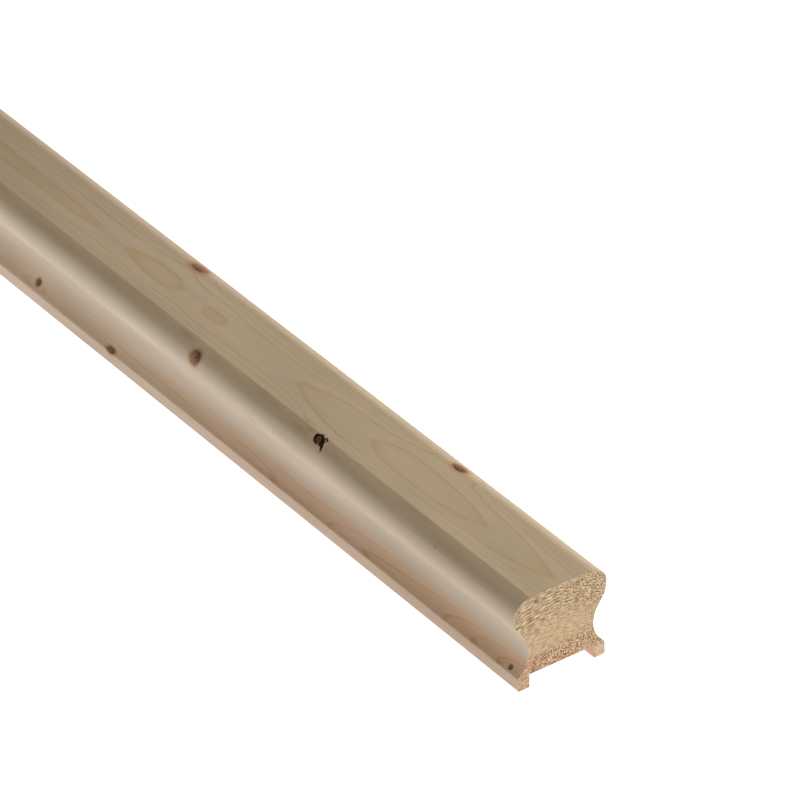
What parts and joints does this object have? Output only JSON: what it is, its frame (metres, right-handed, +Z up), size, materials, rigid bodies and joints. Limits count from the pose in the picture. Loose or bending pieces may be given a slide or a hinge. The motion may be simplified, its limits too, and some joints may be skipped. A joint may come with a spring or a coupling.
{
  "type": "stair handrail",
  "caption": "Straight softwood stair handrail of one moulded section: flat top, rounded shoulders, finger coves down the sides and a groove below for spindles.",
  "frame": {"origin": "middle of the underside, halfway along the rail, level with the soles of its legs", "axes": "+X along the rail, +Y across it, +Z up through the flat top"},
  "size_m": [2.4, 0.059, 0.056],
  "materials": {
    "pine": "planed, bare"
  },
  "bodies": {
    "root": {"handrail": "pine"}
  },
  "joints": []
}
